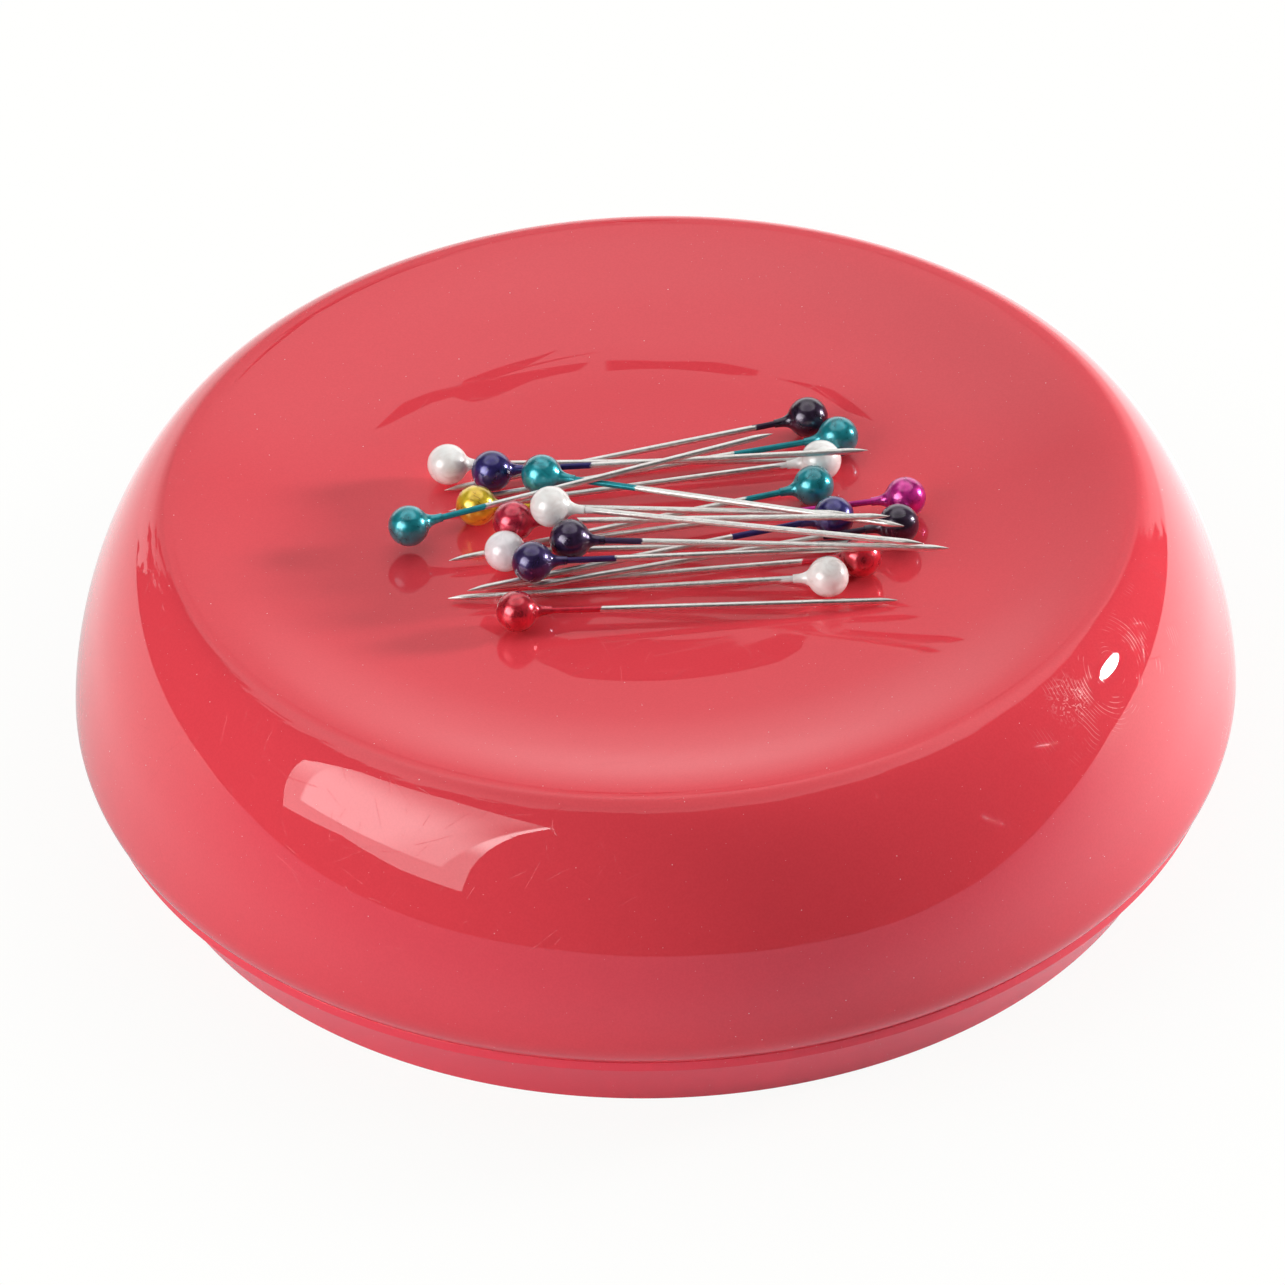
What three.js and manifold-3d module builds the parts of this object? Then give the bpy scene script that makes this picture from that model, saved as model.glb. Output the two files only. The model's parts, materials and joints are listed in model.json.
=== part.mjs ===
// A round magnetic pincushion with twenty ball-headed pins lying in its dish.
// Millimetres, +Z up. The origin is the centre of the flat underside.

import * as THREE from 'three';
import { mergeVertices } from 'three/addons/utils/BufferGeometryUtils.js';
import Module from 'manifold-3d';

// Top dish: a glossy moulded shell, open below
const overallDiameter = 108;
const overallHeight = 31.75;
const rimWidth = 9.35;
const rimSquareness = 1.634;
const dishDepth = 2.8;
const dishFlatness = 6;
const dishEase = 2;
const shellWall = 2.2;

// Seam between the top dish and the base pan, below the dish's widest line
const seamHeight = 7.7;
const widestRise = 3.3;
const seamTuck = 1.45;
const seamGap = 0.15;
const seamLipHeight = 4;
const seamLipWall = 2;
const seamLipClearance = 0.25;
const undercutRoundness = 0.6;

// Base pan: flange, tapered wall and flat floor
const flangeThickness = 1;
const flangeOverhang = 0.8;
const panTaper = 4.13;
const floorEdgeRadius = 0.8;
const floorThickness = 2;
const panWall = 2;

// Ring magnet and the stepped cup that carries it
const magnetDiameter = 60;
const magnetBore = 24;
const magnetThickness = 8;
const magnetChamfer = 0.6;
const magnetClearance = 0.3;
const glueLine = 0.1;
const cupWall = 2;
const cupLedgeWidth = 2;
const cupLipHeight = 4;
const ribCount = 6;
const ribThickness = 1.6;
const ribHeight = 5;

// Ball-headed pins
const pinLength = 36.7;
const shaftDiameter = 0.58;
const tipTaperLength = 5;
const tipShoulderLength = 1.75;
const tipShoulderDiameter = 0.35;
const headDiameter = 3.8;
const neckLength = 1.3;
const neckWall = 0.16;
const neckFlare = 0.42;
const ballBlend = 0.12;
const boreClearance = 0.04;
const boreDepthInHead = 0.8;
const restGap = 0.12;
const balanceShare = 0.3;

// Fineness of the meshes
const roundSides = 48;
const pinSides = 10;
const rimSteps = 9;
const floorSteps = 8;
const undercutSteps = 2;
const headSteps = 6;
const neckSteps = 2;
const settleStep = 0.25;
const settlePasses = 3;

// Twenty pins in the order in which they come to rest, the lowest first.
// x and y place the centre of the head on the dish, and heading is the way
// the shaft points, in degrees from +X.
const pins = [
  { colour: 'black', x: 14.9, y: 12.8, heading: 192.5 },
  { colour: 'magenta', x: 23.5, y: -0.3, heading: 185.5 },
  { colour: 'red', x: 19.1, y: -9.2, heading: 181 },
  { colour: 'pearl', x: 16.0, y: -12.0, heading: 179 },
  { colour: 'pearl', x: -18.6, y: 7.0, heading: 2 },
  { colour: 'teal', x: 17.6, y: 9.6, heading: 190 },
  { colour: 'pearl', x: 15.9, y: 6.0, heading: 186.5 },
  { colour: 'teal', x: 15.1, y: 2.1, heading: 194 },
  { colour: 'indigo', x: -14.5, y: 4.9, heading: -0.5 },
  { colour: 'silver', x: -13.4, y: -7.0, heading: 3.5 },
  { colour: 'indigo', x: 16.8, y: -3.2, heading: 194 },
  { colour: 'black', x: 22.7, y: -4.6, heading: 191.5 },
  { colour: 'violet', x: -10.9, y: -10.7, heading: 0.5 },
  { colour: 'yellow', x: -16.0, y: 0.6, heading: -9.5 },
  { colour: 'red', x: -12.4, y: -15.8, heading: 3 },
  { colour: 'teal', x: -9.9, y: 2.7, heading: -18 },
  { colour: 'crimson', x: -12.6, y: -3.2, heading: -7 },
  { colour: 'plum', x: -7.4, y: -7.8, heading: -7.5 },
  { colour: 'pearl', x: -9.1, y: -4.5, heading: -13 },
  { colour: 'teal', x: -22.2, y: -3.2, heading: 13 },
];

const finishes = {
  shell: { color: 0xe23b4e, roughness: 0.12, metalness: 0 },
  pan: { color: 0xd93346, roughness: 0.2, metalness: 0 },
  ferrite: { color: 0x2b2b2e, roughness: 0.7, metalness: 0.1 },
  steel: { color: 0xc9c6c3, roughness: 0.25, metalness: 1 },
  pearl: { roughness: 0.2, metalness: 0.1 },
};

const headColours = {
  pearl: 0xf1eae6,
  silver: 0xd9cfd2,
  yellow: 0xd9a915,
  crimson: 0xc32a48,
  red: 0xc51f35,
  magenta: 0xb3199a,
  teal: 0x177f86,
  indigo: 0x2a2468,
  violet: 0x2c1d52,
  plum: 0x2a1636,
  black: 0x1d1524,
};

// Radii and heights that follow from the sizes above
const widestRadius = overallDiameter / 2;
const crestRadius = widestRadius - rimWidth;
const seamRadius = widestRadius - seamTuck;
const floorRadius = seamRadius - panTaper;
const widestHeight = seamHeight + widestRise;
const magnetTop = overallHeight - dishDepth - shellWall - magnetClearance;
const magnetBottom = magnetTop - magnetThickness;
const headRadius = headDiameter / 2;
const shaftRadius = shaftDiameter / 2;
const tipReach = pinLength - headRadius;
const neckRadius = shaftRadius + boreClearance + neckWall;
const neckEnd = headRadius + neckLength;

const wasm = await Module();
wasm.setup();

// Point of the rim's outer roll: turn 0 at the widest line, a quarter turn at the crest
function rimPoint(turn) {
  const power = 2 / rimSquareness;
  return new THREE.Vector2(
    crestRadius + rimWidth * Math.cos(turn) ** power,
    widestHeight + (overallHeight - widestHeight) * Math.sin(turn) ** power,
  );
}

// Height of the dish's upper surface at a distance from the axis
function dishHeight(radius) {
  const share = Math.min(radius / crestRadius, 1);
  return overallHeight - dishDepth * (1 - share ** dishFlatness) ** dishEase;
}

// Rise of that surface for each millimetre outwards
function dishSlope(radius) {
  const probe = 0.01;
  return (dishHeight(radius + probe) - dishHeight(radius - probe)) / (2 * probe);
}

// The shell tucks in below the widest line, on an arc that ends at the seam.
// Its roundness is the sine of the angle that the arc turns through.
function undercutPoint(share) {
  const arcReach = seamTuck / (1 - Math.sqrt(1 - undercutRoundness ** 2));
  const inset = arcReach * (1 - Math.sqrt(1 - (share * undercutRoundness) ** 2));
  return new THREE.Vector2(widestRadius - inset, widestHeight - widestRise * share);
}

// The shell's outer surface, from the middle of the dish over the rim to the seam
function shellOuterProfile() {
  const points = [];
  for (let i = 0; i < floorSteps; i++) {
    const radius = crestRadius * Math.sqrt(i / floorSteps);
    points.push(new THREE.Vector2(radius, dishHeight(radius)));
  }
  for (let i = rimSteps; i >= 0; i--) {
    points.push(rimPoint((i / rimSteps) * (Math.PI / 2)));
  }
  for (let i = 1; i <= undercutSteps; i++) {
    points.push(undercutPoint(i / undercutSteps));
  }
  return points;
}

// The same profile moved inwards by the thickness of the wall
function insetProfile(points, wall) {
  return points.map((point, i) => {
    const before = points[Math.max(i - 1, 0)];
    const after = points[Math.min(i + 1, points.length - 1)];
    const along = after.clone().sub(before).normalize();
    const inset = new THREE.Vector2(point.x + along.y * wall, point.y - along.x * wall);
    if (i === 0) inset.set(0, point.y - wall);
    if (i === points.length - 1) inset.set(point.x - wall, point.y);
    return inset;
  });
}

// A closed solid of revolution about Z from a profile of radius and height
function turned(profile, sides) {
  const lathe = new THREE.LatheGeometry(profile, sides);
  lathe.rotateX(Math.PI / 2);
  return closed(lathe);
}

// Joins shared corners and drops the empty triangles at the poles
function closed(geometry) {
  geometry.deleteAttribute('normal');
  geometry.deleteAttribute('uv');
  const merged = mergeVertices(geometry, 1e-4);
  const corners = Array.from(merged.index.array);
  const kept = [];
  for (let i = 0; i < corners.length; i += 3) {
    const [a, b, c] = corners.slice(i, i + 3);
    if (a !== b && b !== c && c !== a) kept.push(a, b, c);
  }
  merged.setIndex(kept);
  merged.computeVertexNormals();
  return merged;
}

function toManifold(geometry) {
  return new wasm.Manifold(new wasm.Mesh({
    numProp: 3,
    vertProperties: new Float32Array(geometry.attributes.position.array),
    triVerts: new Uint32Array(geometry.index.array),
  }));
}

function fromManifold(manifold) {
  const mesh = manifold.getMesh();
  const geometry = new THREE.BufferGeometry();
  geometry.setAttribute('position', new THREE.BufferAttribute(mesh.vertProperties, 3));
  geometry.setIndex(new THREE.BufferAttribute(mesh.triVerts, 1));
  geometry.computeVertexNormals();
  return geometry;
}

function named(name, geometry, finish) {
  const mesh = new THREE.Mesh(geometry, new THREE.MeshStandardMaterial(finish));
  mesh.name = name;
  return mesh;
}

// Shell with the concave dish on top and the rolled rim round it
function topDish() {
  const outer = shellOuterProfile();
  const inner = insetProfile(outer, shellWall);
  const profile = [...outer, ...inner.reverse()].reverse();
  return named('top_dish', turned(profile, roundSides), finishes.shell);
}

// Pan with the seam flange, the lip that enters the shell, and the magnet's cup
function basePan() {
  const lipRadius = seamRadius - shellWall - seamLipClearance;
  const ledgeHeight = magnetBottom - glueLine;
  const cornerInset = floorEdgeRadius * (1 - Math.SQRT1_2);
  const seatRadius = magnetDiameter / 2 + magnetClearance;
  const points = [
    [0, 0],
    [floorRadius - floorEdgeRadius, 0],
    [floorRadius - cornerInset, cornerInset],
    [floorRadius, floorEdgeRadius],
    [seamRadius - flangeOverhang, seamHeight - flangeThickness],
    [seamRadius, seamHeight - flangeThickness],
    [seamRadius, seamHeight - seamGap],
    [lipRadius, seamHeight - seamGap],
    [lipRadius, seamHeight + seamLipHeight],
    [lipRadius - seamLipWall, seamHeight + seamLipHeight],
    [lipRadius - seamLipWall, seamHeight - flangeThickness],
    [floorRadius - panWall, floorThickness],
    [seatRadius, floorThickness],
    [seatRadius, ledgeHeight - cupLedgeWidth],
    [seatRadius + cupWall, ledgeHeight - cupLedgeWidth],
    [seatRadius + cupWall, ledgeHeight + cupLipHeight],
    [seatRadius, ledgeHeight + cupLipHeight],
    [seatRadius, ledgeHeight],
    [seatRadius - cupLedgeWidth, ledgeHeight],
    [seatRadius - cupLedgeWidth, floorThickness],
    [0, floorThickness],
  ];
  const profile = points.map(([radius, height]) => new THREE.Vector2(radius, height));
  let pan = toManifold(turned(profile, roundSides));
  for (let i = 0; i < ribCount; i++) {
    pan = pan.add(toManifold(rib((i / ribCount) * Math.PI * 2, seatRadius, floorRadius - panWall)));
  }
  return named('base_pan', fromManifold(pan), finishes.pan);
}

// A stiffening rib on the pan's floor, from the magnet's cup to the pan's wall
function rib(angle, innerRadius, outerRadius) {
  const bite = 0.5;
  const length = outerRadius - innerRadius + 2 * bite;
  const box = new THREE.BoxGeometry(length, ribThickness, ribHeight + bite);
  box.translate((innerRadius + outerRadius) / 2, 0, floorThickness + (ribHeight - bite) / 2);
  box.rotateZ(angle);
  return closed(box);
}

// Ferrite ring under the dish that holds the pins down
function ringMagnet() {
  const outer = magnetDiameter / 2;
  const inner = magnetBore / 2;
  const points = [
    [inner, magnetBottom + magnetChamfer],
    [inner + magnetChamfer, magnetBottom],
    [outer - magnetChamfer, magnetBottom],
    [outer, magnetBottom + magnetChamfer],
    [outer, magnetTop - magnetChamfer],
    [outer - magnetChamfer, magnetTop],
    [inner + magnetChamfer, magnetTop],
    [inner, magnetTop - magnetChamfer],
    [inner, magnetBottom + magnetChamfer],
  ];
  const profile = points.map(([radius, height]) => new THREE.Vector2(radius, height));
  return named('ring_magnet', turned(profile, roundSides), finishes.ferrite);
}

// Steel shaft along +Z, measured from the middle of the head
function pinShaft(name) {
  const points = [
    [0, -boreDepthInHead],
    [shaftRadius, -boreDepthInHead],
    [shaftRadius, tipReach - tipTaperLength],
    [tipShoulderDiameter / 2, tipReach - tipShoulderLength],
    [0, tipReach],
  ];
  const profile = points.map(([radius, along]) => new THREE.Vector2(radius, along));
  return named(name, turned(profile, pinSides), finishes.steel);
}

// Radius of the neck, which tapers from the ball to the shaft
function neckRadiusAt(along) {
  const share = (along - headRadius) / neckLength;
  return neckRadius + neckFlare * (1 - share) ** 2;
}

// Ball with a tapered neck and a blind bore for the shaft. The ball's outline
// stops a small angle, the blend, before it meets the flare of the neck.
function pinHead(name, colour) {
  const boreRadius = shaftRadius + boreClearance;
  const boreEnd = -boreDepthInHead - boreClearance;
  const lastTurn = Math.PI - Math.asin((neckRadius + neckFlare) / headRadius) - ballBlend;
  const points = [];
  for (let i = 0; i <= headSteps; i++) {
    const turn = (i / headSteps) * lastTurn;
    points.push([headRadius * Math.sin(turn), -headRadius * Math.cos(turn)]);
  }
  for (let i = 1; i <= neckSteps; i++) {
    const along = headRadius + (i / neckSteps) * neckLength;
    points.push([neckRadiusAt(along), along]);
  }
  points.push([boreRadius, neckEnd], [boreRadius, boreEnd], [0, boreEnd]);
  const profile = points.map(([radius, along]) => new THREE.Vector2(radius, along));
  const finish = { ...finishes.pearl, color: headColours[colour] };
  return named(name, turned(profile, pinSides), finish);
}

// A pin as a row of balls, which stands for it while pins are laid on each other
function ballsOf(head, direction) {
  const balls = [{ along: 0, radius: headRadius }];
  for (let along = headRadius; along < tipReach; along += settleStep) {
    balls.push({ along, radius: along < neckEnd ? neckRadiusAt(along) : shaftRadius });
  }
  balls.push({ along: tipReach, radius: shaftRadius });
  return balls.map(({ along, radius }) => {
    const centre = head.clone().addScaledVector(direction, along);
    return { along, radius, centre };
  });
}

// Height at which a ball just clears the dish below it
function heightOverDish(ball) {
  const distance = Math.hypot(ball.centre.x, ball.centre.y);
  return dishHeight(distance) + (ball.radius + restGap) * Math.hypot(1, dishSlope(distance));
}

// Height at which a ball just clears a ball of a pin that already lies there
function heightOverBall(ball, lying) {
  const reach = ball.radius + lying.radius + restGap;
  const dx = ball.centre.x - lying.centre.x;
  const dy = ball.centre.y - lying.centre.y;
  const room = reach ** 2 - dx ** 2 - dy ** 2;
  return room > 0 ? lying.centre.z + Math.sqrt(room) : -Infinity;
}

// Lets a pin down onto the dish and the balls of the pins that lie there. It stops
// on the two points, one on each side of its balance point, that hold it highest.
function settle(pin, lyingBalls) {
  const heading = THREE.MathUtils.degToRad(pin.heading);
  const head = new THREE.Vector3(pin.x, pin.y, 0);
  const direction = new THREE.Vector3(Math.cos(heading), Math.sin(heading), 0);
  const balance = balanceShare * tipReach;
  for (let pass = 0; pass < settlePasses; pass++) {
    const supports = ballsOf(head, direction).map((ball) => {
      const heights = lyingBalls.map((lying) => heightOverBall(ball, lying));
      return { along: ball.along, height: Math.max(heightOverDish(ball), ...heights) };
    });
    const near = supports.filter((support) => support.along <= balance);
    const far = supports.filter((support) => support.along > balance);
    let highest = -Infinity;
    for (const low of near) {
      for (const high of far) {
        const rise = (high.height - low.height) / (high.along - low.along);
        const atBalance = low.height + rise * (balance - low.along);
        if (atBalance > highest) {
          highest = atBalance;
          head.z = low.height - rise * low.along;
          direction.set(Math.cos(heading), Math.sin(heading), 0);
          direction.multiplyScalar(Math.sqrt(1 - rise ** 2)).setZ(rise);
        }
      }
    }
  }
  return { head, direction };
}

// A pin as a group: its head and its shaft, lying where it has settled
function pinGroup(pin, label, place) {
  const group = new THREE.Group();
  group.add(pinHead(`${label}_head`, pin.colour));
  group.add(pinShaft(`${label}_shaft`));
  group.position.copy(place.head);
  group.quaternion.setFromUnitVectors(new THREE.Vector3(0, 0, 1), place.direction);
  return group;
}

const pincushion = new THREE.Group();
pincushion.add(topDish(), basePan(), ringMagnet());
const lyingBalls = [];
pins.forEach((pin, i) => {
  const place = settle(pin, lyingBalls);
  lyingBalls.push(...ballsOf(place.head, place.direction));
  pincushion.add(pinGroup(pin, `pin_${String(i + 1).padStart(2, '0')}`, place));
});

export default pincushion;
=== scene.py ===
"""A magnetic pincushion with twenty ball-headed pins: smooth pieces, finishes, light and camera."""
import json
import math

import bmesh
import bpy
from bpy.props import FloatProperty, FloatVectorProperty, IntProperty, PointerProperty
from mathutils import Matrix, Vector


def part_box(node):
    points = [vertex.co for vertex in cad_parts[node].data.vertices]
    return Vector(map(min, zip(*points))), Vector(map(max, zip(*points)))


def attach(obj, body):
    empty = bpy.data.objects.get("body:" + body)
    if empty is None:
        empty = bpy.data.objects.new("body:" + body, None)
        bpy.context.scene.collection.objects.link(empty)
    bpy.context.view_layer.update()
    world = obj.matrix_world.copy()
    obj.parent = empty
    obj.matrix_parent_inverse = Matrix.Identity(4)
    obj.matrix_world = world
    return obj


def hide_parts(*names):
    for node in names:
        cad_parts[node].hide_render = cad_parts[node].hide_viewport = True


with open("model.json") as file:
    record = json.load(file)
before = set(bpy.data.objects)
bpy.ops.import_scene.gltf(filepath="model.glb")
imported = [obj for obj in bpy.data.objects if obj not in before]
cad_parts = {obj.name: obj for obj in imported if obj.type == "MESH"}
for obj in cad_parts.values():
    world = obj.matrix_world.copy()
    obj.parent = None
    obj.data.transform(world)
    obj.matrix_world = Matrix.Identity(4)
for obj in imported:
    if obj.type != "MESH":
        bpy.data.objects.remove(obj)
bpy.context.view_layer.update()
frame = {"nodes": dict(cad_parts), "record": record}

bl_info = {
    "name": "Magnetic Pincushion",
    "version": (1, 0, 0),
    "blender": (4, 5, 0),
    "location": "3D View > Sidebar > Pincushion",
    "description": "Builds a glossy magnetic pincushion and its ball-headed pins",
    "category": "Object",
}

MM = 0.001
QUARTER_TURN = math.pi / 2
FULL_TURN = 2 * math.pi
SHARP_EDGE = math.radians(40)

# Where wiping has marked the rim on its right, round the lamp's reflection, with arcs painted pale as
# glints, a pale smear beside it that is a painted glint too, and how far each reaches
GLINT_SWIRL_MIDDLE = (0.0412, -0.0246, 0.0295)
GLINT_SWIRL_FADE = (0.005, 0.015)
GLINT_SMEAR_MIDDLE = (0.0372, -0.0300, 0.0300)
GLINT_SMEAR_FADE = (0.0010, 0.0030)
# Distances from the axis at which the wiping and its painted glints set in and end
WIPE_GLINT_FROM = (0.0455, 0.0462)
WIPE_GLINT_TO = (0.0498, 0.0508)

PURE_WHITE = (1.0, 1.0, 1.0, 1.0)
PAGE_WHITE = (1.0, 1.0, 0.99, 1.0)
DUST_TINT = (1.0, 0.80, 0.80)
# Pale tint of the painted glints on the wiping arcs and the smear
WIPE_GLINT_TINT = (1.0, 0.62, 0.62)
# A paint is a pale one where its least channel is above this
PALE_FROM = 0.3
HEAD_COLOURS = {
    "pearl": (1.0, 0.96, 0.92),
    "silver": (0.94, 0.88, 0.90),
    "yellow": (0.94, 0.56, 0.030),
    "crimson": (0.58, 0.022, 0.060),
    "red": (0.62, 0.022, 0.045),
    "magenta": (0.60, 0.016, 0.27),
    "teal": (0.010, 0.28, 0.33),
    "indigo": (0.030, 0.020, 0.15),
    "violet": (0.036, 0.018, 0.10),
    "plum": (0.036, 0.015, 0.060),
    "black": (0.030, 0.013, 0.038),
}


def length(name, description, default_mm):
    """A size property, kept in metres and given in millimetres."""
    return FloatProperty(name=name, description=description, default=default_mm * MM,
                         min=0.0, precision=5, unit="LENGTH")


def colour(name, description, default):
    """A colour property."""
    return FloatVectorProperty(name=name, description=description, default=default,
                               size=3, min=0.0, max=1.0, subtype="COLOR")


def angle(name, description, default_degrees):
    """An angle property, given in degrees."""
    return FloatProperty(name=name, description=description,
                         default=math.radians(default_degrees), subtype="ANGLE")


class DishSettings(bpy.types.PropertyGroup):
    """Sizes and colour of the top dish; its width and height come from the frame."""
    widest_rise: length("Widest line", "Height of the widest line above the seam", 3.3)
    seam_tuck: length("Seam tuck", "How far the seam lies inside the widest line", 1.47)
    rim_width: length("Rim width", "From the crest of the rim to the widest line", 9.35)
    rim_squareness: FloatProperty(name="Rim squareness", description="Power of the rim's roll",
                                  default=1.634, min=1.2, max=4.0)
    dish_depth: length("Dish depth", "From the crest down to the middle of the dish", 2.8)
    dish_flatness: FloatProperty(name="Dish flatness", description="How far the flat floor reaches",
                                 default=6.0, min=1.0, max=12.0)
    dish_ease: FloatProperty(name="Dish ease", description="How softly the dish meets the rim",
                             default=2.0, min=1.0, max=4.0)
    wall: length("Wall", "Thickness of the moulded wall", 2.2)
    lip_round: length("Lip round", "Radius of the lower lip's edges", 0.04)
    sides: IntProperty(name="Sides", description="Steps of the turned surface", default=256, min=24)
    colour: colour("Colour", "Coral red of the moulding", (0.80, 0.058, 0.078))


class PanSettings(bpy.types.PropertyGroup):
    """Sizes and colour of the base pan."""
    flange_thickness: length("Flange", "Thickness of the band that shows at the seam", 1.0)
    flange_overhang: length("Overhang", "How far the flange stands out from the wall", 0.8)
    flange_round: length("Flange round", "Radius of the flange's edges", 0.04)
    taper: length("Taper", "How far the wall draws in from the seam to the floor", 4.13)
    floor_edge_radius: length("Floor edge", "Radius between the wall and the underside", 0.3)
    seam_gap: length("Seam gap", "Gap between the flange and the dish", 0.01)
    wall: length("Wall", "Thickness of the pan's wall and floor", 2.0)
    shell_wall: length("Shell wall", "Thickness of the dish that the lip enters", 2.2)
    lip_clearance: length("Lip clearance", "Gap between the lip and the dish", 0.25)
    cup_lip_height: length("Cup lip", "Height of the cup's rim beside the magnet", 4.0)
    magnet_clearance: length("Magnet clearance", "Gap between the magnet and its cup", 0.3)
    glue_line: length("Glue line", "Gap below the magnet", 0.1)
    # The pan's red is lighter than the dish's, as painted light for the bounce from the table onto the
    # pan's down-facing wall
    colour: colour("Colour", "Coral red of the pan", (0.92, 0.052, 0.086))


class PinSettings(bpy.types.PropertyGroup):
    """Sizes of the ball-headed pins; each pin's place comes from the frame."""
    head_diameter: length("Head", "Diameter of the ball", 3.8)
    shaft_diameter: length("Shaft", "Diameter of the steel wire", 0.58)
    neck_length: length("Neck", "Length of the taper from the ball to the shaft", 1.3)
    neck_wall: length("Neck wall", "Wall of the neck where it ends on the shaft", 0.07)
    neck_flare: length("Neck flare", "How far the neck widens where it meets the ball", 0.32)
    bore_clearance: length("Bore clearance", "Gap between the shaft and its bore", 0.04)
    bore_depth: length("Bore depth", "How far the shaft passes the middle of the ball", 0.8)
    tip_taper: length("Tip taper", "Length of the ground point", 2.0)
    head_sides: IntProperty(name="Head sides", description="Steps round a head", default=40, min=8)
    shaft_sides: IntProperty(name="Shaft sides", description="Steps round a shaft", default=20, min=6)


class StageSettings(bpy.types.PropertyGroup):
    """Camera and studio light."""
    camera_distance: length("Distance", "From the camera to the middle of the object", 1000.0)
    camera_elevation: angle("Elevation", "Height of the camera above the table", 37.193)
    camera_roll: angle("Roll", "Turn of the camera about its own axis", -1.826)
    lens: FloatProperty(name="Lens", description="Focal length", default=301.56, unit="CAMERA")
    lamp_azimuth: angle("Lamp azimuth", "Round from the camera's side towards the right", 105.6)
    lamp_elevation: angle("Lamp elevation", "Height of the small lamp", 14.6)
    window_azimuth: angle("Window azimuth", "Round from the camera's side towards the left", 56.0)
    window_elevation: angle("Window elevation", "Height of the window light's middle", 27.0)


class Wire:
    """A shader socket in a sum: each operator adds the Math node that does it."""

    def __init__(self, shader, socket):
        self.shader = shader
        self.socket = socket

    def math(self, operation, first, second=0.0, third=0.0):
        return self.shader.add("ShaderNodeMath", {"operation": operation},
                               {0: first, 1: second, 2: third})

    def __add__(self, other):
        return self.math("ADD", self, other)

    def __radd__(self, other):
        return self.math("ADD", other, self)

    def __sub__(self, other):
        return self.math("SUBTRACT", self, other)

    def __rsub__(self, other):
        return self.math("SUBTRACT", other, self)

    def __mul__(self, other):
        return self.math("MULTIPLY", self, other)

    def __rmul__(self, other):
        return self.math("MULTIPLY", other, self)

    def __truediv__(self, other):
        return self.math("DIVIDE", self, other)

    def __rtruediv__(self, other):
        return self.math("DIVIDE", other, self)

    def __pow__(self, other):
        return self.math("POWER", self, other)


class Shader:
    """A node tree that is being wired, of a material or of the world."""

    def __init__(self, owner):
        owner.use_nodes = True
        self.tree = owner.node_tree
        self.tree.nodes.clear()

    def add(self, kind, settings=None, sockets=None, output=0):
        """Adds a node, sets its own settings first and then the values or links of its sockets."""
        node = self.tree.nodes.new(kind)
        for name, value in (settings or {}).items():
            if name == "stops":
                self.set_stops(node.color_ramp, value)
            else:
                setattr(node, name, value)
        for name, value in (sockets or {}).items():
            if isinstance(value, Wire):
                self.tree.links.new(value.socket, node.inputs[name])
            else:
                node.inputs[name].default_value = value
        return Wire(self, node.outputs[output]) if node.outputs else node

    def set_stops(self, ramp, stops):
        while len(ramp.elements) < len(stops):
            ramp.elements.new(1.0)
        for element, (position, value) in zip(ramp.elements, stops):
            element.position = position
            element.color = (*value, 1.0)

    def place(self):
        """Position on the piece, in metres."""
        return self.add("ShaderNodeTexCoord", output="Object")

    def noise(self, vector, scale, detail=2.0, roughness=0.5, distortion=0.0):
        return self.add("ShaderNodeTexNoise", None,
                        {"Vector": vector, "Scale": scale, "Detail": detail,
                         "Roughness": roughness, "Distortion": distortion})

    def part(self, vector, axis):
        """One coordinate of a vector."""
        return self.add("ShaderNodeSeparateXYZ", None, {0: vector}, output=axis)

    def step(self, value, low, high):
        """0 below low, 1 above high, and a smooth rise between them."""
        return self.add("ShaderNodeMapRange", {"interpolation_type": "SMOOTHSTEP"},
                        {"Value": value, "From Min": low, "From Max": high})

    def mix(self, share, first, second):
        """Mixes two colours."""
        def full(value):
            return value if isinstance(value, Wire) else (*value, 1.0)
        node = self.tree.nodes.new("ShaderNodeMix")
        node.data_type = "RGBA"
        for socket, value in ((node.inputs[0], share), (node.inputs[6], full(first)),
                              (node.inputs[7], full(second))):
            if isinstance(value, Wire):
                self.tree.links.new(value.socket, socket)
            else:
                socket.default_value = value
        return Wire(self, node.outputs[2])

    def bump(self, height, distance, strength=1.0, normal=None):
        sockets = {"Height": height, "Distance": distance, "Strength": strength}
        if normal is not None:
            sockets["Normal"] = normal
        return self.add("ShaderNodeBump", None, sockets)

    def vector(self, operation, first, second=(0.0, 0.0, 0.0), output="Vector"):
        return self.add("ShaderNodeVectorMath", {"operation": operation}, {0: first, 1: second}, output)

    def glow(self, strength, tint=PURE_WHITE):
        """A surface that only shines."""
        return self.add("ShaderNodeEmission", None, {"Color": tint, "Strength": strength})

    def surface(self, **sockets):
        """Ends a material in a Principled surface."""
        named = {name.replace("_", " "): value for name, value in sockets.items()}
        shader = self.add("ShaderNodeBsdfPrincipled", None, named)
        self.end(shader, "ShaderNodeOutputMaterial")

    def end(self, shader, kind):
        self.add(kind, None, {"Surface": shader})


def chosen(shader, lots, channel, share):
    """A mask of this share of the cells, by one channel of the colours that they have drawn."""
    drawn = shader.add("ShaderNodeSeparateColor", None, {"Color": lots}, output=channel)
    return shader.step(drawn, 1 - share, 1 - share + 0.001)


def specks(shader, place, scale, size, share):
    """A mask of small round specks: size is in cells, share is the part of the cells that has one."""
    sockets = {"Vector": place, "Scale": scale, "Randomness": 1.0}
    cells = shader.add("ShaderNodeTexVoronoi", {"feature": "F1"}, sockets, output="Distance")
    lots = shader.add("ShaderNodeTexVoronoi", {"feature": "F1"}, sockets, output="Color")
    return (1.0 - shader.step(cells, size * 0.5, size)) * chosen(shader, lots, "Red", share)


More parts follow.
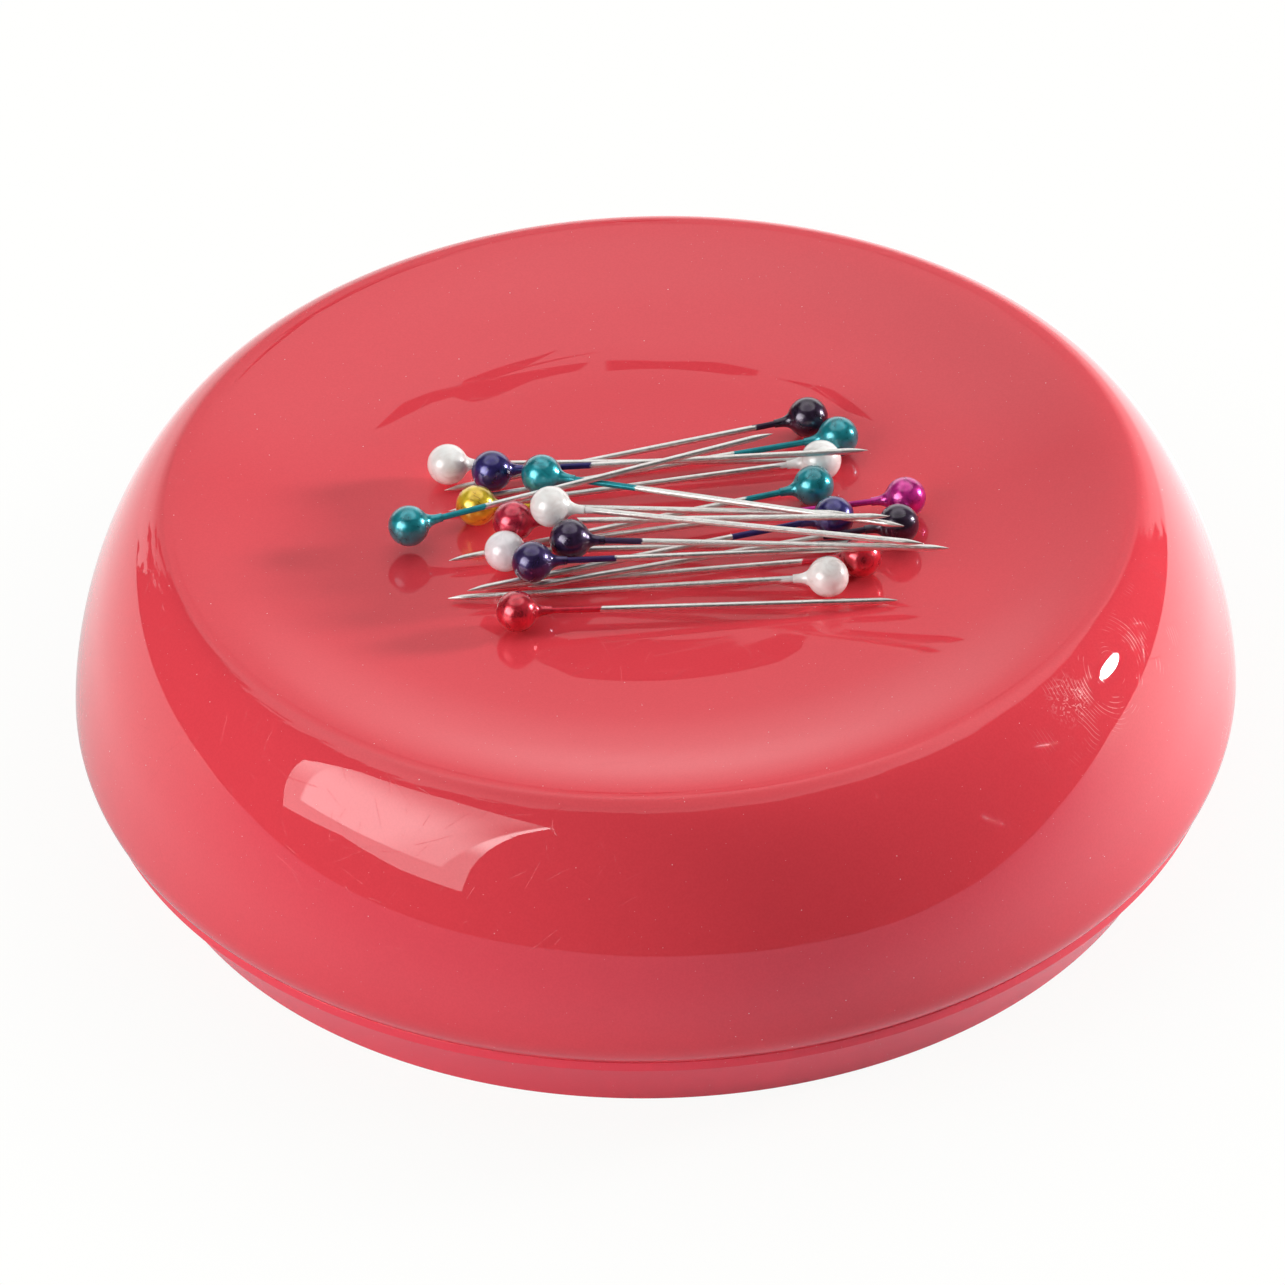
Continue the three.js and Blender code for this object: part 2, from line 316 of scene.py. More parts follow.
def scratches(shader, place, scale, width, share):
    """A mask of short straight scratches, one across a cell; width is in metres."""
    sockets = {"Vector": place, "Scale": scale, "Randomness": 1.0}
    middle = shader.add("ShaderNodeTexVoronoi", {"feature": "F1"}, sockets, output="Position")
    lots = shader.add("ShaderNodeTexVoronoi", {"feature": "F1"}, sockets, output="Color")
    off = shader.vector("SUBTRACT", place, middle)
    lean = shader.vector("NORMALIZE", shader.vector("SUBTRACT", lots, (0.5, 0.5, 0.5)))
    across = shader.vector("DOT_PRODUCT", off, lean, output="Value")
    distance = shader.add("ShaderNodeMath", {"operation": "ABSOLUTE"}, {0: across})
    return (1.0 - shader.step(distance, width * 0.4, width)) * chosen(shader, lots, "Blue", share)


def wipe_glint_mask(shader, place):
    """A mask of the fine arcs that wiping has left round one spot of the rim, and of the smear; both are
    drawn as painted glints round the lamp's reflection.
    """
    off = shader.vector("SUBTRACT", place, GLINT_SWIRL_MIDDLE)
    distance = shader.vector("LENGTH", off, output="Value")
    drift = shader.noise(place, 160.0, detail=1.0)
    waves = shader.add("ShaderNodeMath", {"operation": "SINE"}, {0: distance * 15000.0 + drift * 30.0})
    broken = shader.step(shader.noise(place, 420.0, detail=2.0), 0.50, 0.60)
    # The arcs are painted glints that fade away from the lamp's reflection
    wipe_glints = shader.step(waves, 0.78, 1.0) * broken * (1.0 - shader.step(distance, *GLINT_SWIRL_FADE))
    away = shader.vector("LENGTH", shader.vector("SUBTRACT", place, GLINT_SMEAR_MIDDLE), output="Value")
    # The smear is a painted glint of pale flecks
    glint_flecks = shader.step(shader.noise(place, 1500.0, detail=2.0, distortion=2.0), 0.52, 0.60)
    smear_glint = glint_flecks * (1.0 - shader.step(away, *GLINT_SMEAR_FADE))
    right = shader.part(place, "X")
    back = shader.part(place, "Y")
    from_axis = (right * right + back * back) ** 0.5
    on_rim = shader.step(from_axis, *WIPE_GLINT_FROM) * (1.0 - shader.step(from_axis, *WIPE_GLINT_TO))
    return (wipe_glints * 0.7 + smear_glint * 0.6) * on_rim


def scaled(tint, factor, lift=0.0):
    """A colour times a factor and lifted, with no channel above 1."""
    return [min(channel * factor + lift, 1.0) for channel in tint]


def plastic(name, base, roughness, with_wipe_glints):
    """Injection-moulded plastic, with faint flow marks, dust and handling scratches; with wipe glints,
    the wiping arcs and smear are made rougher and painted pale as glints round the lamp's reflection.
    """
    material = bpy.data.materials.new(name)
    shader = Shader(material)
    place = shader.place()
    cloud = shader.noise(place, 60.0, detail=3.0)
    grain = shader.noise(place, 5000.0, detail=1.0)
    dust = specks(shader, place, 800.0, 0.050, 0.25)
    fine_dust = specks(shader, place, 1700.0, 0.065, 0.40)
    long_scratches = scratches(shader, place, 240.0, 0.000025, 0.35)
    short_scratches = scratches(shader, place, 520.0, 0.00002, 0.45)
    scratch = long_scratches + short_scratches
    tint = shader.mix(cloud, scaled(base, 0.98), scaled(base, 1.02))
    tint = shader.mix(shader.step(grain, 0.3, 0.7) * 0.14, tint, scaled(base, 1.25, 0.02))
    tint = shader.mix(dust * 0.8 + fine_dust * 0.6, tint, DUST_TINT)
    rough = roughness + dust * 0.4 + scratch * 0.10
    if with_wipe_glints:
        # Painted glints: the wiping arcs and the smear are tinted pale round the lamp's reflection, and
        # the marks are rougher
        wipe_glints = wipe_glint_mask(shader, place)
        tint = shader.mix(wipe_glints * 0.45, tint, WIPE_GLINT_TINT)
        rough = rough + wipe_glints * 0.3
    warp = shader.noise(place, 38.0, detail=1.0)
    normal = shader.bump(warp, 0.00001)
    normal = shader.bump(dust * 0.6 + fine_dust * 0.3 - scratch * 0.25, 0.00002, normal=normal)
    shader.surface(Base_Color=tint, Roughness=rough, Normal=normal, IOR=1.5)
    return material


def pearl_paint(name, base):
    """Pearl-finish paint on a moulded ball: a soft lustre with fine flakes under a clear skin."""
    material = bpy.data.materials.new(name)
    shader = Shader(material)
    place = shader.place()
    pale = min(base) > PALE_FROM
    swirls = shader.noise(place, 620.0, detail=3.0, distortion=1.5)
    flakes = shader.noise(place, 4200.0, detail=2.0)
    low, high = (0.90, 1.05) if pale else (0.70, 1.28)
    tint = shader.mix(shader.step(swirls, 0.32, 0.68), scaled(base, low), scaled(base, high, 0.004))
    tint = shader.mix(shader.step(flakes, 0.52, 0.70) * 0.25, tint, scaled(base, 1.5, 0.03))
    dents = shader.noise(place, 380.0, detail=2.0, distortion=0.5)
    wrinkles = shader.noise(place, 1500.0, detail=3.0, distortion=0.8)
    normal = shader.bump(dents, 0.00008)
    normal = shader.bump(wrinkles, 0.000018, normal=normal)
    shader.surface(
        Base_Color=tint,
        Metallic=0.0 if pale else 0.5,
        Roughness=0.22 + swirls * 0.14,
        Normal=normal,
        Coat_Weight=1.0,
        Coat_Roughness=0.10,
    )
    return material


def pin_steel(name, paint):
    """Plated wire, bare towards the tip and dipped in the head's paint below the neck."""
    material = bpy.data.materials.new(name)
    shader = Shader(material)
    place = shader.place()
    reach = shader.add("ShaderNodeAttribute", {"attribute_name": "paint_reach"}, output="Fac")
    ragged = shader.noise(place, 1600.0, detail=2.0)
    painted = shader.step(reach + (ragged - 0.5) * 1.2, -0.12, 0.12)
    streak = shader.noise(place, 1500.0, detail=2.0, roughness=0.6)
    pits = shader.step(shader.noise(place, 3000.0, detail=1.0), 0.64, 0.70)
    metal = shader.mix(shader.step(streak, 0.35, 0.65), (0.76, 0.74, 0.71), (0.86, 0.84, 0.81))
    metal = shader.mix(pits * 0.25, metal, (0.24, 0.22, 0.20))
    coat = shader.mix(streak, scaled(paint, 0.55), scaled(paint, 1.4))
    dulled = 0.95 if min(paint) > PALE_FROM else 0.6
    shader.surface(
        Base_Color=shader.mix(painted, metal, coat),
        Metallic=1.0 - painted * dulled,
        Roughness=0.28 + streak * 0.10,
        Normal=shader.bump(streak * 0.6 - pits * 0.5, 0.000004),
    )
    return material


def ferrite():
    """Sintered ferrite, dark and slightly pitted."""
    material = bpy.data.materials.new("ferrite")
    shader = Shader(material)
    place = shader.place()
    grain = shader.noise(place, 1500.0, detail=4.0)
    pits = specks(shader, place, 500.0, 0.3, 0.2)
    shader.surface(
        Base_Color=shader.mix(grain, (0.018, 0.018, 0.020), (0.045, 0.044, 0.046)),
        Roughness=0.62 + grain * 0.2,
        Metallic=0.1,
        Normal=shader.bump(grain * 0.5 - pits, 0.00008),
    )
    return material


def turned_mesh(profile, sides):
    """A solid of revolution about Z from (radius, height) points, as a bmesh."""
    bm = bmesh.new()
    points = [bm.verts.new((radius, 0.0, height)) for radius, height in profile]
    edges = [bm.edges.new(pair) for pair in zip(points, points[1:])]
    closes = profile[0][0] > 0 and profile[-1][0] > 0
    if closes:
        edges.append(bm.edges.new((points[-1], points[0])))
    bmesh.ops.spin(bm, geom=points + edges, cent=(0, 0, 0), axis=(0, 0, 1), dvec=(0, 0, 0),
                   angle=FULL_TURN, steps=sides, use_merge=True, use_duplicate=False)
    bmesh.ops.remove_doubles(bm, verts=bm.verts, dist=1e-8)
    bmesh.ops.recalc_face_normals(bm, faces=bm.faces)
    return bm


def piece_from(bm, name, material, sharp_angle=SHARP_EDGE):
    """Turns a bmesh into a named object at the origin, smooth but for its sharp edges."""
    for face in bm.faces:
        face.smooth = True
    for edge in bm.edges:
        if len(edge.link_faces) == 2 and edge.calc_face_angle(0.0) > sharp_angle:
            edge.smooth = False
    mesh = bpy.data.meshes.new(name)
    bm.to_mesh(mesh)
    bm.free()
    mesh.materials.append(material)
    piece = bpy.data.objects.new(name, mesh)
    bpy.context.scene.collection.objects.link(piece)
    return piece


def arc(centre, radius, start, end, steps):
    """Points (radius, height) of an arc; the angles are in degrees from the outward direction."""
    points = []
    for i in range(steps + 1):
        turn = math.radians(start + (end - start) * i / steps)
        points.append((centre[0] + radius * math.cos(turn), centre[1] + radius * math.sin(turn)))
    return points


def inset(points, wall):
    """A profile moved inwards by the thickness of a wall; it starts on the axis."""
    moved = []
    for i, (radius, height) in enumerate(points):
        before = Vector(points[max(i - 1, 0)])
        after = Vector(points[min(i + 1, len(points) - 1)])
        along = (after - before).normalized()
        moved.append((max(radius + along.y * wall, 0.0), height - along.x * wall))
    moved[0] = (0.0, points[0][1] - wall)
    return moved


class PINCUSHION_OT_dish(bpy.types.Operator):
    """Build the glossy top dish with its rolled rim"""
    bl_idname = "pincushion.dish"
    bl_label = "Top dish"

    floor_steps = 28
    rim_steps = 44
    tuck_steps = 8
    tuck_roundness = 0.6
    roughness = 0.008

    def execute(self, context):
        size = context.scene.pincushion_dish
        low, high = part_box("top_dish")
        profile = self.outer_profile(size, high.x, low.z, high.z)
        wall = inset(profile, size.wall)
        wall[-1] = (wall[-1][0], low.z)
        lip = size.lip_round
        outside, inside = profile[-1][0], wall[-1][0]
        foot = (arc((outside - lip, low.z + lip), lip, 0, -90, 4)
                + arc((inside + lip, low.z + lip), lip, -90, -180, 4))
        loop = profile[:-1] + foot + [point for point in reversed(wall[:-1]) if point[1] > low.z + lip]
        piece = piece_from(turned_mesh(loop, size.sides), "dish_shell",
                           plastic("dish_plastic", size.colour, self.roughness, with_wipe_glints=True))
        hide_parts("top_dish")
        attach(piece, "cushion")
        return {"FINISHED"}

    def outer_profile(self, size, widest, seam, crest_height):
        """From the middle of the dish over the rim to the seam."""
        crest = widest - size.rim_width
        widest_height = seam + size.widest_rise
        power = 2 / size.rim_squareness
        points = []
        for i in range(self.floor_steps):
            share = math.sqrt(i / self.floor_steps)
            drop = size.dish_depth * (1 - share ** size.dish_flatness) ** size.dish_ease
            points.append((crest * share, crest_height - drop))
        for i in range(self.rim_steps + 1):
            turn = QUARTER_TURN * (1 - i / self.rim_steps)
            points.append((crest + size.rim_width * max(math.cos(turn), 0.0) ** power,
                           widest_height + (crest_height - widest_height) * math.sin(turn) ** power))
        reach = size.seam_tuck / (1 - math.sqrt(1 - self.tuck_roundness ** 2))
        for i in range(1, self.tuck_steps + 1):
            share = i / self.tuck_steps
            tuck = reach * (1 - math.sqrt(1 - (share * self.tuck_roundness) ** 2))
            points.append((widest - tuck, widest_height - size.widest_rise * share))
        return points


class PINCUSHION_OT_pan(bpy.types.Operator):
    """Build the base pan with its seam flange and the magnet's cup"""
    bl_idname = "pincushion.pan"
    bl_label = "Base pan"

    roughness = 0.05

    def execute(self, context):
        size = context.scene.pincushion_pan
        low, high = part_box("base_pan")
        magnet_low, magnet_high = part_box("ring_magnet")
        seam = high.x
        floor = seam - size.taper
        flange_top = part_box("top_dish")[0].z - size.seam_gap
        flange_foot = flange_top + size.seam_gap - size.flange_thickness
        lip = seam - size.shell_wall - size.lip_clearance
        seat = magnet_high.x + size.magnet_clearance
        ledge = magnet_low.z - size.glue_line
        edge = size.flange_round
        corner = size.floor_edge_radius
        wall = size.wall
        loop = [(0.0, low.z)]
        loop += arc((floor - corner, low.z + corner), corner, -90, -5, 6)
        loop += [(seam - size.flange_overhang, flange_foot)]
        loop += arc((seam - edge, flange_foot + edge), edge, -90, 0, 5)
        loop += arc((seam - edge, flange_top - edge), edge, 0, 90, 5)
        loop += [
            (lip, flange_top),
            (lip, high.z),
            (lip - wall, high.z),
            (lip - wall, flange_foot),
            (floor - wall, low.z + wall),
            (seat + wall, low.z + wall),
            (seat + wall, ledge + size.cup_lip_height),
            (seat, ledge + size.cup_lip_height),
            (seat, ledge),
            (seat - wall, ledge),
            (seat - wall, low.z + wall),
            (0.0, low.z + wall),
        ]
        sides = context.scene.pincushion_dish.sides
        piece = piece_from(turned_mesh(loop, sides), "pan_shell",
                           plastic("pan_plastic", size.colour, self.roughness, with_wipe_glints=False))
        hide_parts("base_pan")
        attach(piece, "cushion")
        return {"FINISHED"}


class PINCUSHION_OT_magnet(bpy.types.Operator):
    """Give the ring magnet its sintered finish"""
    bl_idname = "pincushion.magnet"
    bl_label = "Ring magnet"

    def execute(self, context):
        magnet = frame["nodes"]["ring_magnet"]
        magnet.data.materials.clear()
        magnet.data.materials.append(ferrite())
        return {"FINISHED"}


class PINCUSHION_OT_pins(bpy.types.Operator):
    """Build every pin's painted head and plated shaft where the frame lays it"""
    bl_idname = "pincushion.pins"
    bl_label = "Pins"

    sharp_edge = math.radians(50)
    ball_steps = 18
    neck_steps = 8
    # The angle by which the ball stops short of the neck, and how far the curve between them is pulled
    ball_blend = 0.12
    neck_pull = 0.62 * MM
    shaft_rings = 48
    tip_steps = 12
    tip_power = 1.7
    # How far the paint runs from the middle of each head, in millimetres, from the first pin on
    paint_runs = (5.1, 11.1, 5.5, 4.4, 4.0, 9.8, 4.0, 6.5, 9.2, 3.8,
                  9.8, 7.0, 7.6, 6.0, 7.8, 9.2, 6.0, 6.7, 4.0, 7.3)

    def execute(self, context):
        size = context.scene.pincushion_pins
        paints = {name: pearl_paint(name + "_paint", base) for name, base in HEAD_COLOURS.items()}
        wires = {name: pin_steel(name + "_pin_steel", base) for name, base in HEAD_COLOURS.items()}
        slots = {part["node"]: part["material_slot"] for part in frame["record"]["subparts"]}
        labels = sorted(name[:-len("_shaft")] for name in frame["nodes"] if name.endswith("_shaft"))
        for label, paint_run in zip(labels, self.paint_runs):
            head_slot = slots[label + "_head"]
            tint = head_slot[:-len("_head")]
            place, reach = self.lie(label, size)
            head = self.head_mesh(size)
            shaft = self.shaft_mesh(size, reach, paint_run * MM)
            for bm, part, material, slot in ((head, "_head", paints[tint], head_slot),
                                             (shaft, "_shaft", wires[tint], "pin_steel")):
                bmesh.ops.transform(bm, matrix=place, verts=bm.verts)
                piece = piece_from(bm, label + ("_ball" if part == "_head" else "_wire"),
                                   material, self.sharp_edge)
                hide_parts(label + part)
                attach(piece, label)
        return {"FINISHED"}

    def lie(self, label, size):
        """Where a pin lies: the placement of its head's middle and axis, and its reach to the tip."""
        shaft = [vertex.co.copy() for vertex in frame["nodes"][label + "_shaft"].data.vertices]
        head = [vertex.co.copy() for vertex in frame["nodes"][label + "_head"].data.vertices]
        middle = sum(head, Vector()) / len(head)
        tip = max(shaft, key=lambda point: (point - middle).length)
        far = max((point - tip).length for point in shaft)
        end = [point for point in shaft if (point - tip).length > far - 0.1 * MM]
        butt = sum(end, Vector()) / len(end)
        axis = (tip - butt).normalized()
        pole = min((point - tip).dot(axis) for point in head)
        reach = -pole - size.head_diameter / 2
        centre = tip - axis * reach
        turn = Vector((0, 0, 1)).rotation_difference(axis)
        return Matrix.Translation(centre) @ turn.to_matrix().to_4x4(), reach

    def head_mesh(self, size):
        """A ball with a flared neck and a blind bore for the shaft."""
        ball = size.head_diameter / 2
        wire = size.shaft_diameter / 2
        bore = wire + size.bore_clearance
        neck = bore + size.neck_wall
        last = math.pi - math.asin((neck + size.neck_flare) / ball) - self.ball_blend
        turns = [last * i / self.ball_steps for i in range(self.ball_steps + 1)]
        loop = [(ball * math.sin(turn), -ball * math.cos(turn)) for turn in turns]
        loop[0] = (0.0, -ball)
        start = loop[-1]
        slope = Vector((-math.cos(math.pi - last), math.sin(math.pi - last)))
        waist = Vector(start) + slope * self.neck_pull
        end = Vector((neck, ball + size.neck_length))
        for i in range(1, self.neck_steps + 1):
            share = i / self.neck_steps
            point = (Vector(start) * (1 - share) ** 2 + waist * 2 * share * (1 - share)
                     + end * share ** 2)
            loop.append((max(point.x, neck), point.y))
        loop += [(bore, end.y), (bore, -size.bore_depth - size.bore_clearance),
                 (0.0, -size.bore_depth - size.bore_clearance)]
        return turned_mesh(loop, size.head_sides)

    def shaft_mesh(self, size, reach, paint):
        """A straight wire with a ground point; it carries how far the paint reaches past each ring."""
        wire = size.shaft_diameter / 2
        straight = reach - size.tip_taper
        butt = -size.bore_depth
        rings = self.shaft_rings + 1
        loop = [(0.0, butt), (wire, butt)]
        for i in range(1, rings + 1):
            loop.append((wire, butt + (straight + size.bore_depth) * i / rings))
        for i in range(1, self.tip_steps):
            share = i / self.tip_steps
            loop.append((wire * (1 - share ** self.tip_power), straight + size.tip_taper * share))
        loop.append((0.0, reach))
        bm = turned_mesh(loop, size.shaft_sides)
        layer = bm.verts.layers.float.new("paint_reach")
        for vertex in bm.verts:
            vertex[layer] = (paint - vertex.co.z) / MM
        return bm


class PINCUSHION_OT_stage(bpy.types.Operator):
    """Set up the table, the tent round it, the lamps and the camera"""
    bl_idname = "pincushion.stage"
    bl_label = "Stage"

    # Outline of the white table sheet, whose near edges show in the rim's reflections
    sheet_outline = ((-0.85, 1.1), (-0.85, 0.08), (-0.46, -0.091), (-0.28, -0.131), (-0.198, -0.177),
                     (-0.147, -0.207), (-0.077, -0.251), (0.023, -0.231), (0.073, -0.185),
                     (0.107, -0.140), (0.149, -0.114), (0.31, -0.086), (0.61, -0.01), (0.85, 0.06),
                     (0.85, 1.1))
    sheet_level = -0.0002
    # Pink tint of the sheet's painted glow in front of the object
    blush = (1.0, 0.70, 0.96)
    # How bright the tent is at each height of its direction, from the table up to straight overhead
    tent_levels = ((0.0, 1.4), (0.24, 1.3), (0.30, 1.03), (0.39, 0.87), (0.46, 0.67), (0.61, 0.65),
                   (0.69, 1.03), (0.78, 1.19), (0.84, 1.42), (0.88, 1.42), (0.945, 0.95), (0.98, 0.72))
    tent_floor = 0.03
    # The lamp: a small disc that only reflections see, and a wider one that lights and casts shadows
    lamp_parts = (("lamp_spot", 0.055, True), ("lamp_glow", 0.105, False))
    lamp_power = 2.3
    lamp_distance = 0.48
    lamp_aim = Vector((0.041, -0.025, 0.029))
    # The window's outline on its own plane, the middle of that plane, and the lamp that lights for it
    window_outline = ((-0.172, -0.158), (-0.059, -0.141), (0.050, -0.159), (0.157, -0.161),
                      (0.152, -0.082), (0.156, -0.004), (0.167, 0.097), (0.188, 0.180),
                      (0.088, 0.191), (0.002, 0.201), (-0.119, 0.154), (-0.176, 0.045),
                      (-0.177, -0.096))
    window_corner = (-0.180, -0.162)
    window_span = (0.370, 0.365)
    window_middle = Vector((-0.330, -0.249, 0.216))
    fill_width = 0.34
    fill_power = 1.35
    # Outlines of the dark cards behind, in millimetres to the right and up, and their distances
    card_back = 8000
    card_outline = ((-75, 5310), (45, 5300), (35, 5500), (5, 5680), (30, 5860), (-10, 5910),
                    (-45, 5830), (-30, 5610), (-70, 5420))
    strips_back = 2000
    strip_outlines = (
        ((158, 1759), (154, 1849), (116, 1843), (81, 1812), (88, 1841), (51, 1776), (43, 1810),
         (49, 1880), (43, 1916), (8, 1833), (12, 1743), (9, 1691), (17, 1686), (18, 1656),
         (29, 1672), (65, 1749), (86, 1765), (134, 1753)),
        ((8, 1741), (-3, 1710), (-14, 1724), (-20, 1705), (-13, 1672), (-6, 1650), (3, 1663)),
        ((-18, 1679), (-35, 1700), (-45, 1703), (-43, 1663), (-40, 1633), (-22, 1627), (-25, 1671)),
    )
    # A clear card just behind the rim, past which the dark card is clear as well
    screen_back = 70
    screen_outline = ((-40, 66), (40, 66), (40, 89.5), (-40, 89.5))
    # The camera turns round one point and looks at another
    orbit_middle = Vector((0, 0, 0.015))
    camera_aim = Vector((-0.001107, 0.000021, 0.015028))

    def execute(self, context):
        scene = context.scene
        scene.view_settings.view_transform = "Standard"
        stage = scene.pincushion_stage
        self.table()
        self.tent(scene)
        self.lamp(stage)
        self.window(stage)
        self.dark_cards()
        self.clear_card()
        self.camera(scene, stage)
        return {"FINISHED"}

    def table(self):
        """A white sheet that ends in front of the object; the camera sees it as plain white, and
        reflections see a glow with painted light and shade.
        """
        material = bpy.data.materials.new("table_paper")
        shader = Shader(material)
        place = shader.place()
        right = shader.part(place, "X")
        back = shader.part(place, "Y")
        seen = shader.add("ShaderNodeLightPath", output="Is Camera Ray")
        mirrored = shader.add("ShaderNodeLightPath", output="Is Glossy Ray")
        # Near the object: a painted shadow in the glow that reflections see, and a little of the really
        # shaded paper for the camera
        near = 1.0 - shader.step(shader.vector("LENGTH", place, output="Value"), 0.05, 0.09)
        # Painted light: the glow is brighter behind the object and brightest to the right, on the lamp's
        # side
        behind = shader.step(back, -0.13, 0.03)
        side = 1.25 + shader.step(right, -0.05, 0.14) * 0.9
        glow = (0.75 + behind * (side - 0.75)) * (1.0 - near * 0.5)
        tint = shader.mix(behind, self.blush, PURE_WHITE[:3])
        paper = shader.add("ShaderNodeBsdfDiffuse", None, {"Color": (0.80, 0.80, 0.80, 1.0)})
        lit = shader.glow(glow, tint)
        # Reflections see the painted glow; other rays see the paper lit by the lamps
        plain = shader.add("ShaderNodeMixShader", None, {0: mirrored, 1: paper, 2: lit})
        share = seen * (1.0 - near * 0.07)
        white = shader.glow(1.0, PAGE_WHITE)
        shader.end(shader.add("ShaderNodeMixShader", None, {0: share, 1: plain, 2: white}),
                   "ShaderNodeOutputMaterial")
        corners = [Vector((right, back, self.sheet_level)) for right, back in self.sheet_outline]
        sheet = self.flat_shape("table_sheet", corners, material)

    def flat_shape(self, name, corners, material):
        """One flat face with these corners."""
        bm = bmesh.new()
        bmesh.ops.contextual_create(bm, geom=[bm.verts.new(corner) for corner in corners])
        return piece_from(bm, name, material)

    def tent(self, scene):
        """A white tent that is open towards the camera, and plain white to the camera itself."""
        world = bpy.data.worlds.new("tent")
        scene.world = world
        shader = Shader(world)
        way = shader.add("ShaderNodeTexCoord", output="Generated")
        right = shader.part(way, "X")
        back = shader.part(way, "Y")
        height = shader.part(way, "Z")
        sideways = shader.add("ShaderNodeMath", {"operation": "ABSOLUTE"}, {0: right})
        round_from_front = sideways.math("ARCTAN2", sideways, 0.0 - back)
        folds = shader.noise(way, 9.0, detail=4.0, roughness=0.65) - 0.5
        folds = folds * (1.0 + shader.step(0.0 - right, 0.15, 0.55) * 2.2)
        roof_line = 0.825 - back * 0.36 + back.math("MAXIMUM", back, 0.0) * 0.14 + right * 0.02
        roof = shader.step(height + folds * 0.14 - roof_line, -0.004, 0.004)
        wall_edge = math.radians(137.0) + shader.step(height, 0.30, 0.60) * math.radians(15.0)
        wall = shader.step(round_from_front + folds * 0.35 - wall_edge, -0.01, 0.01)
        opening = (1.0 - roof) * (1.0 - wall)
        stops = [(stop, (level / 2,) * 3) for stop, level in self.tent_levels]
        brightness = shader.add("ShaderNodeValToRGB", {"stops": stops}, {"Fac": height})
        light = 2.0 * brightness * (1.0 - opening) + self.tent_floor
        seen = shader.add("ShaderNodeLightPath", output="Is Camera Ray")
        tent = shader.add("ShaderNodeBackground", None, {"Color": PURE_WHITE, "Strength": light})
        white = shader.add("ShaderNodeBackground", None, {"Color": PAGE_WHITE, "Strength": 1.0})
        shader.end(shader.add("ShaderNodeMixShader", None, {0: seen, 1: tent, 2: white}),
                   "ShaderNodeOutputWorld")

    def towards(self, azimuth, elevation):
        """A direction from the object; azimuth 0 is the camera's side and turns to the right."""
        return Vector((math.sin(azimuth) * math.cos(elevation),
                       -math.cos(azimuth) * math.cos(elevation), math.sin(elevation)))

    def hang_lamp(self, light, place, way):
        """Hangs a lamp that the camera doesn't see, so that it shines back along a direction."""
        lamp = bpy.data.objects.new(light.name, light)
        lamp.location = place
        lamp.rotation_euler = way.to_track_quat("Z", "Y").to_euler()
        lamp.visible_camera = False
        bpy.context.scene.collection.objects.link(lamp)
        return lamp

    def lamp(self, stage):
        """The lamp low on the right: a small spot for its reflections, a soft disc for the shadows."""
        way = self.towards(stage.lamp_azimuth, stage.lamp_elevation)
        for name, width, mirrored in self.lamp_parts:
            light = bpy.data.lights.new(name, "AREA")
            light.shape = "DISK"
            light.size = width
            light.energy = self.lamp_power
            lamp = self.hang_lamp(light, way * self.lamp_distance + self.lamp_aim, way)
            lamp.visible_glossy = mirrored
            lamp.visible_diffuse = not mirrored

    def window_glass(self):
        """The light of the window: a bright sky that fades to the top right, between paler bars."""
        material = bpy.data.materials.new("window_glow")
        shader = Shader(material)
        place = shader.add("ShaderNodeTexCoord", output="UV")
        across = shader.part(place, "X")
        up = shader.part(place, "Y")
        right_bar = shader.step(across - up * 0.226, 0.735, 0.755)
        left_bar = 1.0 - shader.step(across, 0.095, 0.115)
        foot_bar = 1.0 - shader.step(up, 0.135, 0.150)
        pane = (1.0 - right_bar) * (1.0 - left_bar) * (1.0 - foot_bar)
        top_fade = shader.step(up + across * 0.3, 0.55, 1.1) * 4.4
        side_fade = shader.step(across - up * 0.5, 0.35, 0.6) * 1.8
        sky = 7.2 - top_fade - side_fade
        right_light = right_bar * shader.step(up, 0.3, 0.5) * 6.0
        left_light = left_bar * shader.step(up, 0.25, 0.6) * 2.6
        bars = 3.4 + right_light + left_light
        shader.end(shader.glow(bars + pane * (sky - bars)), "ShaderNodeOutputMaterial")
        return material

    def window(self, stage):
        """The framed window on the left, whose picture shows on the rim, and its soft light."""
        way = self.towards(-stage.window_azimuth, stage.window_elevation)
        turn = way.to_track_quat("Z", "Y").to_matrix().to_4x4()
        bm = bmesh.new()
        corners = [bm.verts.new((across, up, 0.0)) for across, up in self.window_outline]
        bmesh.ops.contextual_create(bm, geom=corners)
        layer = bm.loops.layers.uv.new("UVMap")
        for face in bm.faces:
            for loop in face.loops:
                loop[layer].uv = [(loop.vert.co[i] - self.window_corner[i]) / self.window_span[i]
                                  for i in range(2)]
        bmesh.ops.transform(bm, matrix=Matrix.Translation(self.window_middle) @ turn, verts=bm.verts)
        pane_piece = piece_from(bm, "window_pane", self.window_glass())
        self.only_mirrored(pane_piece)
        light = bpy.data.lights.new("window_fill", "AREA")
        light.shape = "RECTANGLE"
        light.size = self.fill_width
        light.size_y = self.fill_width
        light.energy = self.fill_power
        fill = self.hang_lamp(light, self.window_middle, way)
        fill.visible_glossy = False

    def only_mirrored(self, piece):
        """A stage piece that shows in reflections and nowhere else."""
        piece.visible_camera = False
        piece.visible_diffuse = False
        piece.visible_shadow = False

    def card(self, name, outline, back, material):
        """An upright card at some distance behind, which only reflections see."""
        corners = [Vector((right, back, up)) * MM for right, up in outline]
        self.only_mirrored(self.flat_shape(name, corners, material))

    def clear_card(self):
        """Keeps the dark card, seen once, from showing again in the sides of the dish."""
        material = bpy.data.materials.new("card_clear")
        shader = Shader(material)
        shader.end(shader.add("ShaderNodeBsdfTransparent"), "ShaderNodeOutputMaterial")
        self.card("clear_card", self.screen_outline, self.screen_back, material)

